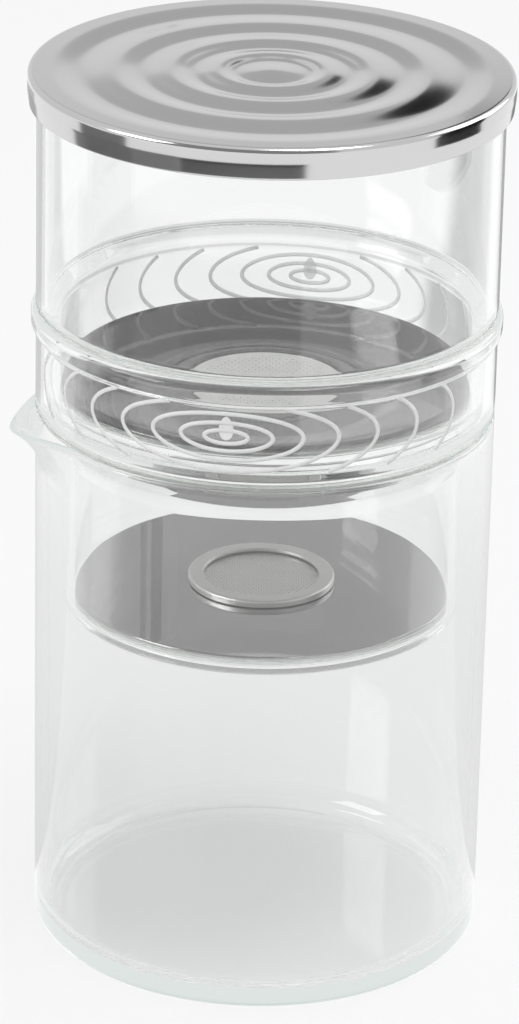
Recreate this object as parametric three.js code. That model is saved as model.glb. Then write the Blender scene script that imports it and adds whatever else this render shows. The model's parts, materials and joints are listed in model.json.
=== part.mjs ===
// Cold brew coffee maker. A water tank stands on a coffee chamber, and the chamber hangs
// in the mouth of a pouring jug. Water drips through the tank's perforated disc on to the
// coffee, and the brew runs through the filter below it into the jug.
// Millimetres, +Z up, origin in the middle of the jug's foot.
import * as THREE from 'three';

// Sizes that the whole stack shares
const tubeRadius = 50;          // outside of the tank, the chamber's collar and the jug
const glassWall = 2.4;
const rimRound = 1.1;           // fire-polished rims
const sheet = 0.8;              // pressed steel
const sheetRound = 0.3;         // trimmed edges of the steel
const seatGap = 0.2;            // between pieces that rest on each other
const slipGap = 0.4;            // round a piece that lifts out of another
const sealThickness = 0.8;      // clear silicone rings

// Jug
const jugHeight = 123.2;
const jugFloor = 3.4;
const jugHeel = 6;              // outer fillet between foot and wall
const jugCove = 5;              // inner fillet between floor and wall
const spoutReach = 7.6;         // how far the tip stands out of the wall
const spoutDepth = 12;          // how far below the rim the spout starts to swell
const spoutDroop = 1.2;         // how far the tip lies below the rim
const spoutBearing = THREE.MathUtils.degToRad(195);
const spoutHalfSpan = THREE.MathUtils.degToRad(25);

// Coffee chamber
const collarHeight = 22.5;      // from the seat on the jug to the top of the bead
const beadReach = 1;            // how far the thick rim stands out of the tube
const beadHeight = 5;
const beadRound = 1.7;
const shoulderRound = 1.5;
const shoulderThickness = 2.2;
const neckClearance = 1;        // between the jug's bore and the neck, the cone under the seat
const neckDepth = 7;            // from the seat down to where the basket starts
const neckRound = 8;            // hollow curve from the neck into the basket
const neckEdge = 1;             // fillets at the neck's wide end
const neckShelf = 1.4;          // ring of floor inside, round the top of the neck
const neckStep = 0.5;           // how much higher the neck's foot lies inside
const basketInset = 4.2;        // between the tube's bore and the basket
const basketWall = 1.8;
const basketDepth = 46.2;       // below the seat
const basketHeel = 1.2;
const ledgeWidth = 4.2;         // ring that carries the filter plate
const ledgeThickness = 1.8;

// Water tank
const tankRise = 49.2;          // from its step to its rim
const spigotDepth = 20.9;       // the narrower foot that reaches into the chamber
const spigotWall = 2.2;
const spigotRound = 3;
const stepRound = 2;
const innerStepRise = 1.8;      // top of the slope inside, above the step
const innerStepDrop = 1;        // foot of that slope, below the step
const innerStepRound = 1;
const lipWidth = 3.5;           // ring that carries the drip plate
const lipThickness = 2.2;

// Drip plate, a shallow pressed dish with a perforated disc in its middle
const dishRimWidth = 2.2;
const dishDepth = 2.6;
const dishRound = 3;
const discSeatRadius = 17.2;    // recess that holds the perforated disc
const discSeatDepth = 0.7;
const discSeatWidth = 2.6;
const discThickness = 0.5;
const dripHoleRadius = 0.6;
const dripHolePitch = 5.4;

// Filter plate, flat, with a clamped mesh in its middle
const meshRadius = 15.4;
const meshBearing = 1.8;        // width of plate under the mesh
const meshThickness = 0.4;
const meshHoleRadius = 0.7;
const meshHolePitch = 3.6;
const ringLap = 2.7;            // width of the ring over the mesh's edge
const ringHeight = 1.7;         // above the plate
const ringSheet = 0.8;
const ringSkirt = 0.5;

// Lid
const lidOverhang = 1.9;        // beyond the tank's wall
const lidRimHeight = 6.8;
const lidEdgeRound = 1.6;
const rippleHeight = 0.6;       // from trough to crest
const rippleHalfWaves = 8;
const plainMargin = 4;          // flat band between the ripples and the rim
const firstTroughShare = 0.153; // radius of the first trough, as a share of the rippled face's
const growthShare = 0.0106;     // how much wider each half wave is than the last
const lidSealDrop = 4.2;        // the seal's skirt over the tank's wall

// Roundness
const turns = 36;               // facets round the large pieces
const fineFillet = 0.6;         // a square corner's fillet up to this size is one facet
const discTurns = 30;
const jugTurns = 48;
const spoutCrowding = 0.55;     // share by which the jug's facets are drawn to the spout
const spoutRings = 4;           // bands of facets down the spout

// Heights, from the jug's rim up
const tubeInner = tubeRadius - glassWall;
const chamberSealFoot = jugHeight + seatGap;
const chamberSeat = chamberSealFoot + sealThickness + seatGap;
const basketFoot = chamberSeat - basketDepth;
const basketRadius = tubeInner - basketInset;
const basketInner = basketRadius - basketWall;
const ledgeTop = basketFoot + ledgeThickness;
const filterGasketFoot = ledgeTop + seatGap;
const filterPlateFoot = filterGasketFoot + sealThickness + seatGap;
const filterPlateTop = filterPlateFoot + sheet;
const filterPlateRadius = basketInner - slipGap;
const meshFoot = filterPlateTop + seatGap;
const ringInnerRadius = meshRadius - ringLap;
const ringOuterRadius = meshRadius + slipGap + ringSkirt;
const chamberTop = chamberSeat + collarHeight;
const beadRadius = tubeRadius + beadReach;
const tankSealFoot = chamberTop + seatGap;
const tankStep = tankSealFoot + sealThickness + seatGap;
const spigotRadius = tubeInner - slipGap;
const spigotInner = spigotRadius - spigotWall;
const spigotFoot = tankStep - spigotDepth;
const lipTop = spigotFoot + lipThickness;
const lipRadius = spigotInner - lipWidth;
const dripGasketFoot = lipTop + seatGap;
const dripPlateFoot = dripGasketFoot + sealThickness + seatGap;
const dripPlateTop = dripPlateFoot + sheet;
const dripPlateRadius = spigotInner - slipGap;
const discSeatTop = dripPlateTop - dishDepth - discSeatDepth;
const tankTop = tankStep + tankRise;
const lidSealTop = tankTop + seatGap + sealThickness;
const lidUnderside = lidSealTop + seatGap;
const lidTop = lidUnderside + sheet;
const lidRadius = tubeRadius + lidOverhang;
const lidInner = lidRadius - sheet;
const lidInnerRound = lidEdgeRound - sheet;
const lidRimFoot = lidTop - lidRimHeight;

// Finishes
const glass = new THREE.MeshStandardMaterial({
  color: 0xe9efec, roughness: 0.03, metalness: 0, transparent: true, opacity: 0.3,
});
const steel = new THREE.MeshStandardMaterial({ color: 0xc9cbcc, roughness: 0.08, metalness: 1 });
const darkSteel = new THREE.MeshStandardMaterial({ color: 0x8d8a8a, roughness: 0.12, metalness: 1 });
const satinSteel = new THREE.MeshStandardMaterial({ color: 0xc4c4c2, roughness: 0.4, metalness: 1 });
const silicone = new THREE.MeshStandardMaterial({
  color: 0xeef0ee, roughness: 0.35, metalness: 0, transparent: true, opacity: 0.5,
});

// Points of a fillet at corner b, between corners a and c. A corner is [radius, height, fillet].
function fillet(a, b, c) {
  const corner = new THREE.Vector2(b[0], b[1]);
  const toPrevious = new THREE.Vector2(a[0], a[1]).sub(corner).normalize();
  const toNext = new THREE.Vector2(c[0], c[1]).sub(corner).normalize();
  const half = Math.acos(toPrevious.dot(toNext)) / 2;
  const centre = toPrevious.clone().add(toNext).normalize()
    .multiplyScalar(b[2] / Math.sin(half)).add(corner);
  const start = toPrevious.clone().multiplyScalar(b[2] / Math.tan(half)).add(corner).sub(centre);
  const side = Math.sign(start.cross(corner.clone().sub(centre)));
  const sweep = (Math.PI - 2 * half) * side;
  const steps = Math.ceil(Math.sqrt(b[2] / fineFillet) * Math.abs(sweep) / (Math.PI / 2));
  const points = [];
  for (let i = 0; i <= steps; i++) {
    points.push(start.clone().rotateAround(new THREE.Vector2(), sweep * i / steps).add(centre));
  }
  return points;
}

// Outline through the corners, rounded where a corner has a fillet.
function outline(corners) {
  return corners.flatMap((corner, i) => {
    if (!corner[2]) return [new THREE.Vector2(corner[0], corner[1])];
    const last = corners.length - 1;
    const previous = corners[i === 0 ? last : i - 1];
    const next = corners[i === last ? 0 : i + 1];
    return fillet(previous, corner, next);
  });
}

// Solid of revolution about Z. The outline runs anticlockwise, radius to the right.
function turn(points, facets) {
  return new THREE.LatheGeometry(points, facets).rotateX(Math.PI / 2);
}

// Ring of revolution: its outline closes on itself away from the axis.
function turnRing(corners, facets = turns) {
  const points = outline(corners);
  return turn([...points, points[0]], facets);
}

// Flat washer, square at its edges unless they are rounded.
function washer(inner, outer, foot, thickness, round = 0) {
  return turnRing([
    [inner, foot, round],
    [outer, foot, round],
    [outer, foot + thickness, round],
    [inner, foot + thickness, round],
  ]);
}

// Flat disc with rows of holes on a triangular grid, kept within an inner radius.
function perforatedDisc(radius, foot, thickness, holeRadius, pitch, inside) {
  const shape = new THREE.Shape().absarc(0, 0, radius, 0, 2 * Math.PI);
  const rowHeight = pitch * Math.sin(Math.PI / 3);
  const rows = Math.floor(inside / rowHeight);
  const columns = Math.ceil(inside / pitch);
  for (let row = -rows; row <= rows; row++) {
    for (let column = -columns; column <= columns; column++) {
      const x = (column + (row % 2 ? 1 / 2 : 0)) * pitch;
      const y = row * rowHeight;
      if (Math.hypot(x, y) + holeRadius > inside) continue;
      shape.holes.push(new THREE.Path(holeCorners(x, y, holeRadius)));
    }
  }
  const options = { depth: thickness, bevelEnabled: false, curveSegments: discTurns / 2 };
  return new THREE.ExtrudeGeometry(shape, options).translate(0, 0, foot);
}

function holeCorners(x, y, radius) {
  const sides = 6;
  return Array.from({ length: sides }, (_, i) => {
    const angle = 2 * Math.PI * i / sides;
    return new THREE.Vector2(x + radius * Math.cos(angle), y + radius * Math.sin(angle));
  });
}

// How far the spout carries the wall outwards, as a share of its reach. The tip is rounded,
// the sides run straight to it, and the swelling fades out down the wall.
function spoutShare(offAxis, belowRim) {
  const tipSoftness = 0.12;
  const across = Math.min(Math.abs(offAxis) / spoutHalfSpan, 1);
  const down = Math.min(Math.max(belowRim / spoutDepth, 0), 1);
  const soft = Math.hypot(across, tipSoftness) - tipSoftness;
  const softEnd = Math.hypot(1, tipSoftness) - tipSoftness;
  return (1 - soft / softEnd) ** 1.5 * (1 - down) ** 2;
}

// Heights of the facet bands down the spout, from the rim, closer together near the rim.
function spoutHeights() {
  return Array.from({ length: spoutRings }, (_, i) => {
    const share = ((i + 1) / spoutRings) ** 1.5;
    return jugHeight - rimRound - (spoutDepth - rimRound) * share;
  });
}

// The jug is turned, its facets are drawn together at the spout, and then the wall there
// is carried out to the tip, inner and outer face alike.
function jugGeometry() {
  const heights = spoutHeights();
  const geometry = turn(outline([
    [0, 0],
    [tubeRadius, 0, jugHeel],
    ...heights.toReversed().map((height) => [tubeRadius, height]),
    [tubeRadius, jugHeight, rimRound],
    [tubeInner, jugHeight, rimRound],
    ...heights.map((height) => [tubeInner, height]),
    [tubeInner, jugFloor, jugCove],
    [0, jugFloor],
  ]), jugTurns);
  const position = geometry.attributes.position;
  for (let i = 0; i < position.count; i++) {
    const radius = Math.hypot(position.getX(i), position.getY(i));
    const even = Math.atan2(position.getY(i), position.getX(i));
    const offAxis = even - spoutCrowding * Math.sin(even);
    const share = spoutShare(offAxis, jugHeight - position.getZ(i));
    const angle = spoutBearing + offAxis;
    const reached = radius + spoutReach * share;
    const height = position.getZ(i) - spoutDroop * share ** 2;
    position.setXYZ(i, reached * Math.cos(angle), reached * Math.sin(angle), height);
  }
  return geometry;
}

function chamberGeometry() {
  const innerFloor = chamberSeat + shoulderThickness;
  const neckFoot = chamberSeat - neckDepth;
  const ledgeInner = basketInner - ledgeWidth;
  return turnRing([
    [ledgeInner, basketFoot, sheetRound],
    [basketRadius, basketFoot, basketHeel],
    [basketRadius, neckFoot, neckRound],
    [tubeInner - neckClearance, chamberSeat, neckEdge],
    [tubeRadius, chamberSeat, shoulderRound],
    [tubeRadius, chamberTop - beadHeight],
    [beadRadius, chamberTop - beadHeight + rimRound, rimRound],
    [beadRadius, chamberTop, beadRound],
    [tubeInner, chamberTop, rimRound],
    [tubeInner, innerFloor, rimRound],
    [tubeInner - neckShelf, innerFloor, neckEdge],
    [basketInner, neckFoot + neckStep, neckRound],
    [basketInner, ledgeTop],
    [ledgeInner, ledgeTop, sheetRound],
  ]);
}

function filterPlateGeometry() {
  return washer(meshRadius - meshBearing, filterPlateRadius, filterPlateFoot, sheet, sheetRound);
}

// Inverted channel: a flat band over the mesh's edge and a skirt down to the plate.
function meshRingGeometry() {
  const top = filterPlateTop + ringHeight;
  const bandFoot = top - ringSheet;
  const skirtInner = ringOuterRadius - ringSkirt;
  return turnRing([
    [ringInnerRadius, bandFoot],
    [skirtInner, bandFoot],
    [skirtInner, filterPlateTop + seatGap],
    [ringOuterRadius, filterPlateTop + seatGap],
    [ringOuterRadius, top, ringSkirt],
    [ringInnerRadius, top, sheetRound],
  ], discTurns);
}

function tankGeometry() {
  return turnRing([
    [lipRadius, spigotFoot, sheetRound],
    [spigotRadius, spigotFoot, spigotRound],
    [spigotRadius, tankStep, sheetRound],
    [tubeRadius, tankStep, stepRound],
    [tubeRadius, tankTop, rimRound],
    [tubeInner, tankTop, rimRound],
    [tubeInner, tankStep + innerStepRise, innerStepRound],
    [spigotInner, tankStep - innerStepDrop, innerStepRound],
    [spigotInner, lipTop, sheetRound],
    [lipRadius, lipTop, sheetRound],
  ]);
}

// The dish's two faces follow one profile, a sheet's thickness apart.
function dripPlateGeometry() {
  const floorRadius = discSeatRadius + discSeatDepth;
  const rimRadius = dripPlateRadius - dishRimWidth;
  const floor = dripPlateTop - dishDepth;
  const holeRadius = discSeatRadius - discSeatWidth;
  return turnRing([
    [holeRadius, discSeatTop - sheet],
    [floorRadius, discSeatTop - sheet, sheetRound],
    [floorRadius + sheet, floor - sheet],
    [rimRadius, dripPlateFoot, dishRound],
    [dripPlateRadius, dripPlateFoot, sheetRound],
    [dripPlateRadius, dripPlateTop, sheetRound],
    [rimRadius, dripPlateTop, dishRound],
    [floorRadius, floor, sheetRound],
    [discSeatRadius, floor],
    [discSeatRadius, discSeatTop],
    [holeRadius, discSeatTop],
  ]);
}

// Radii at which the ripples turn over: crest in the middle, then trough, crest, trough.
function rippleRadii() {
  const ringed = rippleHalfWaves - 1;
  const growths = ringed * (ringed - 1) / 2;
  const halfWaveShare = (1 - firstTroughShare - growthShare * growths) / ringed;
  const shares = [0, firstTroughShare];
  for (let i = 0; i < ringed; i++) {
    shares.push(shares.at(-1) + halfWaveShare + growthShare * i);
  }
  return shares.map((share) => share * (lidInner - plainMargin));
}

// Points of the rippled face from the middle out, with one point on each slope.
function rippledFace(crestHeight) {
  const radii = rippleRadii();
  return radii.flatMap((radius, i) => {
    const height = crestHeight - (i % 2 ? rippleHeight : 0);
    if (i === radii.length - 1) return [[radius, height]];
    const middle = (radius + radii[i + 1]) / 2;
    return [[radius, height], [middle, crestHeight - rippleHeight / 2]];
  });
}

function lidGeometry() {
  return turn(outline([
    ...rippledFace(lidUnderside),
    [lidInner, lidUnderside, lidInnerRound],
    [lidInner, lidRimFoot],
    [lidRadius, lidRimFoot, sheetRound],
    [lidRadius, lidTop, lidEdgeRound],
    ...rippledFace(lidTop).reverse(),
  ]), turns);
}

// The seal lies over the tank's rim and hangs between its wall and the lid's rim.
function lidSealGeometry() {
  const skirtInner = tubeRadius + seatGap;
  const skirtOuter = lidInner - seatGap;
  const underside = tankTop + seatGap;
  return turnRing([
    [skirtInner, tankTop - lidSealDrop],
    [skirtOuter, tankTop - lidSealDrop],
    [skirtOuter, lidSealTop, lidInnerRound],
    [tubeInner, lidSealTop],
    [tubeInner, underside],
    [skirtInner, underside],
  ]);
}

// Ring between a rim and what stands on it, as wide as the glass is thick.
function rimSeal(foot) {
  return washer(tubeInner, tubeRadius, foot, sealThickness);
}

function ledgeGasket(outer, width, foot) {
  return washer(outer - width, outer, foot, sealThickness);
}

const pieces = [
  ['jug', jugGeometry(), glass],
  ['chamber_seal', rimSeal(chamberSealFoot), silicone],
  ['coffee_chamber', chamberGeometry(), glass],
  ['filter_gasket', ledgeGasket(filterPlateRadius, ledgeWidth, filterGasketFoot), silicone],
  ['filter_plate', filterPlateGeometry(), darkSteel],
  ['filter_mesh', perforatedDisc(meshRadius, meshFoot, meshThickness, meshHoleRadius,
    meshHolePitch, ringInnerRadius), satinSteel],
  ['filter_mesh_ring', meshRingGeometry(), satinSteel],
  ['tank_seal', rimSeal(tankSealFoot), silicone],
  ['water_tank', tankGeometry(), glass],
  ['drip_gasket', ledgeGasket(dripPlateRadius, lipWidth, dripGasketFoot), silicone],
  ['drip_plate', dripPlateGeometry(), darkSteel],
  ['drip_disc', perforatedDisc(discSeatRadius - seatGap, discSeatTop + seatGap, discThickness,
    dripHoleRadius, dripHolePitch, discSeatRadius - discSeatWidth), satinSteel],
  ['lid_seal', lidSealGeometry(), silicone],
  ['lid_cap', lidGeometry(), steel],
];

const coffeeMaker = new THREE.Group();
for (const [name, geometry, material] of pieces) {
  const piece = new THREE.Mesh(geometry, material);
  piece.name = name;
  coffeeMaker.add(piece);
}

export default coffeeMaker;
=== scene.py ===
import json
import math

import bpy
from mathutils import Matrix, Vector


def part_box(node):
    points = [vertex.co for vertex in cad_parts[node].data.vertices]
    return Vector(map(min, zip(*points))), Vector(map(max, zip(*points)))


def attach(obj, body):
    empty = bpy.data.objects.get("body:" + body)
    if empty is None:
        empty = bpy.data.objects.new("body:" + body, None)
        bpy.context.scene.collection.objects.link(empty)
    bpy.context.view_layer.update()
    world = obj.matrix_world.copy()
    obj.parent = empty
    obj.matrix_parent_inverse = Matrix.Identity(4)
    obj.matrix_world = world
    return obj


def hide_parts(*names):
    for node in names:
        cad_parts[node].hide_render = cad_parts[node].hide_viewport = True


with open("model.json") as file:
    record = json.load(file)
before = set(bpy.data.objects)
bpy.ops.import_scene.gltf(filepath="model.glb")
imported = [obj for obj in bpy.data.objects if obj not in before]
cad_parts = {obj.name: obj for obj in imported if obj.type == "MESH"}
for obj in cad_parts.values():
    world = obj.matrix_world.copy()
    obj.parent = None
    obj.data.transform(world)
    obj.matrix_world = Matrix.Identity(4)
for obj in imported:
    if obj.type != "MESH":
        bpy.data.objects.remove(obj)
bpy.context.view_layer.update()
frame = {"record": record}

bl_info = {
    "name": "Cold brew coffee maker",
    "version": (1, 0, 0),
    "blender": (4, 5, 0),
    "location": "3D View > Sidebar > Coffee maker",
    "description": "Dresses a glass cold drip coffee maker and lights it in a plain studio",
    "category": "Add Mesh",
}

MM = 0.001
SUPPORT = 0.3 * MM      # distance of the extra point on each side of a fillet
ARC_STEPS = 8           # facets in a quarter turn of a fillet
WELD = 0.001 * MM       # points closer than this are one
SHEET_FACETS = 128      # facets round a perforated sheet
HOLE_FACETS = 10        # facets round one of its holes
PRINT_LIFT = 0.02 * MM  # room between the wall and the enamel
FINE_EDGE = 0.2 * MM    # rounding of the finest edges
SEAT_EDGE = 0.15 * MM   # rounding of the seat under the drip disc
RIM_EDGE = 0.3 * MM     # outer rounding at the foot of the lid's rim
RIM_BELLY = 6 * MM      # rounding of the middle of the lid's rim
BEAD_COVE = 1.5 * MM    # hollow under the chamber's thick rim
LID_BAND = 0.6 * MM     # widest facet across the lid
FLOOR_DROP = 0.05 * MM  # room under the jug, so that light meets its foot and the floor apart
LID_ROUGH = 0.003
PLATE_ROUGH = 0.02
MESH_METAL = 0.86       # how bare the satin steel of the filter mesh is, 1 being all metal
DISC_METAL = 0.7        # the same for the drip disc, which is paler
FOCAL = 4750            # focal length of the fitted camera, in pixels of the photograph
PHOTO_HEIGHT = 1024     # height of the photograph, in pixels
FILM = 36               # the same height on the camera's film, in millimetres
CAMERA_END = 20         # how far the camera sees, in metres
WHITE = (1.0, 1.0, 1.0, 1.0)

# Painted reflections: darkness that only reflections and glass show, by bearing clockwise from the
# back, in degrees
PAINTED_FLOOR_REFLECTIONS = (         # painted dark patches on the floor: bearing, distance in metres and brightness
    ((164, 222), (0.35, 0.52), 0.02),
    ((222, 283), (0.33, 0.55), 0.18),
    ((11, 26), (0.32, 0.62), 0.2),
    ((324, 344), (0.3, 0.62), 0.45),
)
PAINTED_WALL_REFLECTIONS = (          # the same, mostly mirrored by the outside of the jug's wall
    ((285, 352), (0.05, 0.3), 0.65),
    ((8, 75), (0.05, 0.32), 0.65),
)
PAINTED_PATCH_EDGE = 1.2         # softness of those painted patches' edges, in degrees and centimetres
PAINTED_DARK_ROOM = ((149, 250), (-2, 62))      # painted reflection of a dark room behind the camera: bearing and rise
PAINTED_CEILING = ((172.5, 187.5), (19.3, 44))  # painted reflection of a darker ceiling behind the object: bearing from the front, and rise
SKY_EDGE = 0.4          # softness of their edges, in degrees
CARDS = {               # cards hung round the table: middle, width, height and brightness
    "back_card": ((0.088, 0.35, 0.4), 0.064, 0.144, 0.005),
    "left_card": ((-0.34, -0.06, 0.055), 0.17, 0.11, 0.2),
    "right_card": ((0.36, 0.02, 0.19), 0.2, 0.24, 0.015),
    "first_slat": ((-0.046, 0.25, 0.196), 0.003, 0.055, 0.35),
    "second_slat": ((-0.0395, 0.25, 0.196), 0.005, 0.055, 0.3),
    "third_slat": ((-0.0325, 0.25, 0.196), 0.004, 0.055, 0.5),
}
LAMPS = {               # soft lamps: middle, width and power in watts
    "key": ((0.35, -0.3, 1.6), 0.6, 8.0),
    "fill": ((-1.25, -0.55, 0.9), 0.7, 9.0),
    "rear": ((1.15, 0.7, 0.9), 1.1, 7.0),
}
LAMP_AIM = Vector((0, 0, 0.1))
MOST_MIRRORED = 3.5     # reflections after which a clear piece shows a painted pale glow in place of trapped light
MOST_BOUNCES = 10.5     # the same for reflections and refractions together

BODY_OF = {
    node: body
    for body, nodes in frame["record"]["behaviour"]["bodies"].items()
    for node in nodes
}


def span(node):
    """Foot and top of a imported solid."""
    low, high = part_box(node)
    return low.z, high.z


def reach(node):
    """Outer radius of a turned solid, read on the side away from the spout."""
    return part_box(node)[1].x


# Sizes and colours that a user may change


def kept_as(kind, **limits):
    """A function that makes properties of one kind from a name, a description and a default."""
    return lambda name, description, default: kind(
        name=name, description=description, default=default, **limits
    )


length = kept_as(bpy.props.FloatProperty, min=0, precision=5, unit="LENGTH")
rotation = kept_as(bpy.props.FloatProperty, unit="ROTATION")
number = kept_as(bpy.props.FloatProperty, min=0, precision=3)
count = kept_as(bpy.props.IntProperty, min=1)
tint = kept_as(bpy.props.FloatVectorProperty, subtype="COLOR", size=3, min=0, max=1)


def mm(name, description, default):
    """A length with its default in millimetres."""
    return length(name, description, default * MM)


def angle(name, description, default):
    """A turn with its default in degrees."""
    return rotation(name, description, math.radians(default))


def group(kind, name):
    return bpy.props.PointerProperty(type=kind, name=name)


class TubeSizes(bpy.types.PropertyGroup):
    radius: length("Tube radius", "Outside of the jug, the collar and the tank", reach("water_tank"))
    wall: mm("Glass wall", "Thickness of the drawn tube", 2.4)
    rim: mm("Rim round", "Rounding of the fire-polished rims", 1.1)
    gap: mm("Seat gap", "Room between pieces that rest on each other", 0.2)
    slip: mm("Slip gap", "Room round a piece that lifts out of another", 0.4)
    seal: mm("Seal thickness", "Thickness of the clear rings", 0.8)
    facets: count("Facets", "Facets round the turned pieces", 224)


class JugSizes(bpy.types.PropertyGroup):
    floor: mm("Floor", "Thickness of the jug's floor", 3.4)
    heel: mm("Heel", "Outer rounding between foot and wall", 3.5)
    cove: mm("Cove", "Inner rounding between floor and wall", 5)
    reach: mm("Spout reach", "How far the tip stands out of the wall", 7.4)
    depth: mm("Spout depth", "How far below the rim the spout starts to swell", 12)
    droop: mm("Spout droop", "How far the tip lies below the rim", 1.2)
    bearing: angle("Spout bearing", "Direction of the spout, from +X", 195)
    half_span: angle("Spout half span", "Half the arc that the spout takes of the rim", 25)
    softness: number("Tip softness", "Rounding of the spout's tip", 0.12)


class ChamberSizes(bpy.types.PropertyGroup):
    basket_depth: mm("Basket depth", "From the seat on the jug down to the foot", 46.2)
    basket_inset: mm("Basket inset", "Room between the tube's bore and the basket", 4.2)
    basket_wall: mm("Basket wall", "Thickness of the basket", 1.8)
    basket_heel: mm("Basket heel", "Rounding of the basket's foot", 1.2)
    bead_height: mm("Bead height", "Height of the thick rim", 5)
    bead_round: mm("Bead round", "Rounding on top of the thick rim", 1.7)
    shoulder_round: mm("Shoulder round", "Rounding of the shoulder", 1.5)
    shoulder: mm("Shoulder", "Thickness of the shoulder", 2.2)
    neck_depth: mm("Neck depth", "How far the neck's foot lies below the seat", 8.8)
    neck_clearance: mm("Neck clearance", "Between the jug's bore and the neck", 1)
    neck_edge: mm("Neck edge", "Rounding at the neck's wide end", 1)
    neck_shelf: mm("Neck shelf", "Ring of floor inside, round the top of the neck", 1.4)
    neck_step: mm("Neck step", "How much higher the neck's foot lies inside", 0.5)
    neck_round: mm("Neck round", "Hollow curve from the neck into the basket", 8)
    ledge_width: mm("Ledge width", "Width of the ring under the filter plate", 4.2)
    ledge: mm("Ledge", "Thickness of the ring under the filter plate", 1.8)


class TankSizes(bpy.types.PropertyGroup):
    foot_depth: mm("Foot depth", "How far the foot reaches into the chamber", 20.9)
    foot_wall: mm("Foot wall", "Thickness of the foot's wall", 2.2)
    foot_round: mm("Foot round", "Rounding of the foot's outer edge", 3)
    step_round: mm("Step round", "Rounding where the wall steps in", 0.8)
    slope_rise: mm("Slope rise", "Top of the slope inside, above the step", 0.4)
    slope_drop: mm("Slope drop", "Foot of that slope, below the step", 2.4)
    slope_round: mm("Slope round", "Rounding of that slope's ends", 1)
    lip_width: mm("Lip width", "Width of the ring under the drip plate", 3.5)
    lip: mm("Lip", "Thickness of the ring under the drip plate", 2.2)


class SteelSizes(bpy.types.PropertyGroup):
    sheet: mm("Sheet", "Thickness of the pressed steel", 0.8)
    edge: mm("Trimmed edge", "Rounding of the trimmed edges", 0.3)
    dish_rim: mm("Dish rim", "Width of the drip plate's flat rim", 2.2)
    dish_depth: mm("Dish depth", "Depth of the drip plate's dish", 2.6)
    dish_round: mm("Dish round", "Rounding of the dish's wall", 3)
    recess_depth: mm("Recess depth", "Depth of the seat under the drip disc", 0.7)
    recess_width: mm("Recess width", "Width of the seat under the drip disc", 2.6)
    mesh_bearing: mm("Mesh bearing", "Width of plate under the filter mesh", 1.8)
    mesh_open: mm("Ring opening", "Inner radius of the ring round the mesh", 12.7)
    ring_height: mm("Ring height", "Height of the ring above its plate", 1.7)
    ring_skirt: mm("Ring skirt", "Thickness of the ring's skirt", 0.5)
    hole: mm("Hole radius", "Radius of the fine holes", 0.2)
    drip_pitch: mm("Drip pitch", "Distance between the drip disc's holes", 1.5)
    mesh_pitch: mm("Mesh pitch", "Distance between the filter mesh's holes", 1.1)


class LidSizes(bpy.types.PropertyGroup):
    rim_height: mm("Rim height", "Height of the turned-down rim", 6.8)
    edge_round: mm("Edge round", "Rounding of the lid's upper edge", 1.1)
    bulge: mm("Rim bulge", "How far the rim's foot draws in below its middle", 0.35)
    height: mm("Ripple height", "From trough to crest", 0.6)
    margin: mm("Plain margin", "Flat band between the ripples and the rim", 4)
    waves: count("Half waves", "Half waves from the middle to the plain band", 8)
    first: number("First trough", "Radius of the first trough, as a share of the rippled face", 0.153)
    growth: number("Growth", "How much wider each half wave is than the last", 0.0106)
    lean: number("Lean", "How much longer the waves' outward slopes are", 0.18)
    seal_drop: mm("Seal drop", "The seal's skirt over the tank's wall", 4.2)


class PrintSizes(bpy.types.PropertyGroup):
    height: mm("Centre height", "Height of the ripples' middle", 135.4)
    front: angle("Front bearing", "Direction of the front print, from +X", 260.8)
    rear: angle("Rear bearing", "Direction of the rear print, from +X", 78.5)
    rings: count("Rings", "Ellipses in each print", 7)
    first: mm("First ring", "Half width of the innermost ring", 4.6)
    step: mm("Step", "How much wider the next ring is", 4.6)
    widening: mm("Widening", "How much that step grows from ring to ring", 0.6)
    flatness: number("Flatness", "Height of a ring as a share of its width", 0.32)
    line: mm("Line", "Width of the printed line", 0.9)
    enamel: mm("Enamel", "Thickness of the fired enamel", 0.06)
    low: mm("Lower edge", "Height at which the print starts", 127.6)
    high: mm("Upper edge", "Height at which the print ends", 141.9)
    drop_width: mm("Drop width", "Width of the falling drop", 3.4)
    drop_height: mm("Drop height", "Height of the falling drop", 5.3)
    drop_sink: mm("Drop sink", "How far the drop's foot lies below the middle", 0.7)


class Finishes(bpy.types.PropertyGroup):
    glass: tint("Glass", "Faint colour of thick glass", (0.68, 0.84, 0.78))
    density: number("Glass density", "How fast the glass takes its colour, per metre", 5)
    lid: tint("Lid steel", "Mirror polished steel of the lid", (0.62, 0.62, 0.62))
    dish: tint("Dish steel", "Polished steel of the drip plate", (0.28, 0.275, 0.275))
    plate: tint("Plate steel", "Polished steel of the filter plate", (0.45, 0.445, 0.445))
    satin: tint("Satin steel", "Satin steel of disc, mesh and ring", (0.90, 0.90, 0.89))
    silicone: tint("Silicone", "Clear silicone rings", (0.90, 0.92, 0.90))
    enamel: tint("Enamel", "White enamel of the print", (0.95, 0.95, 0.95))


class Studio(bpy.types.PropertyGroup):
    distance: length("Camera distance", "From the camera to the axis", 1.045)
    aim: mm("Aim height", "Height on the axis that the camera looks at", 97.4)
    shift: mm("Camera shift", "How far the camera stands to the left", 0.7)
    pitch: angle("Camera pitch", "How far the camera looks down", 23.29)
    roll: angle("Camera roll", "How far the camera is turned about its view", 1.234)
    lens: number("Focal length", "In millimetres, on a 36 mm frame", FOCAL / PHOTO_HEIGHT * FILM)
    floor: tint("Floor", "Colour of the floor", (0.72, 0.72, 0.725))
    floor_radius: length("Floor radius", "Radius of the round floor", 4)
    # painted reflections: the low and high backdrop, the dark room and the backdrop in glass are seen
    # only in reflections and through glass, while the camera and lit surfaces see an even backdrop
    low_sky: number("Low backdrop", "Brightness of the backdrop near the horizon", 1.06)
    high_sky: number("High backdrop", "Brightness of the backdrop overhead", 0.7)
    glass_sky: number("Backdrop in glass", "Share of the backdrop that glass shows", 0.82)
    room: number("Dark room", "Brightness of the room behind the camera", 0.35)


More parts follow.
